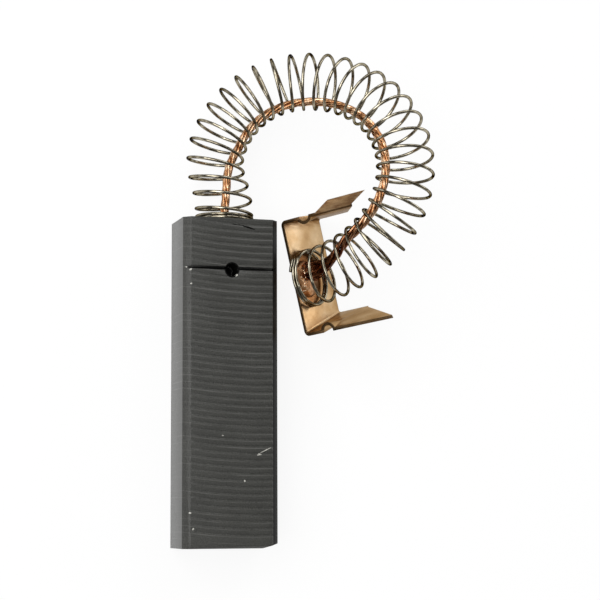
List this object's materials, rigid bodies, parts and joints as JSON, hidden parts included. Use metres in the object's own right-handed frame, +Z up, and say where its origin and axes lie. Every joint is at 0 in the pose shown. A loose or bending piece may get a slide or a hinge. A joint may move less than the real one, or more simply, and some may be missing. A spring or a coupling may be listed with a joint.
{
  "type": "carbon brush",
  "caption": "Carbon block with a tamped copper lead inside an arched compression spring, ending in a brass terminal clip; carries current to a motor's commutator.",
  "frame": {"origin": "middle of the whole brush's extent in X and Y, on the plane that the back face of the carbon block lies on", "axes": "+Z up out of the block's front face, +Y along the block from its contact face to the spring, +X to the side that the spring's arch bends to"},
  "size_m": [0.0314, 0.0648, 0.0182],
  "materials": {
    "carbon": "pressed carbon graphite with fine curved cutter marks",
    "tamping_powder": "packed dull powder",
    "copper_strand": "bare twisted copper strand",
    "spring_steel": "drawn spring wire",
    "clip_brass": "stamped sheet, satin",
    "fused_copper": "fused metal, dull"
  },
  "bodies": {
    "root": {"carbon_block": "carbon", "tamped_powder": "tamping_powder", "pigtail": "copper_strand", "spring": "spring_steel", "terminal_clip": "clip_brass", "weld_nugget": "fused_copper"}
  },
  "joints": []
}
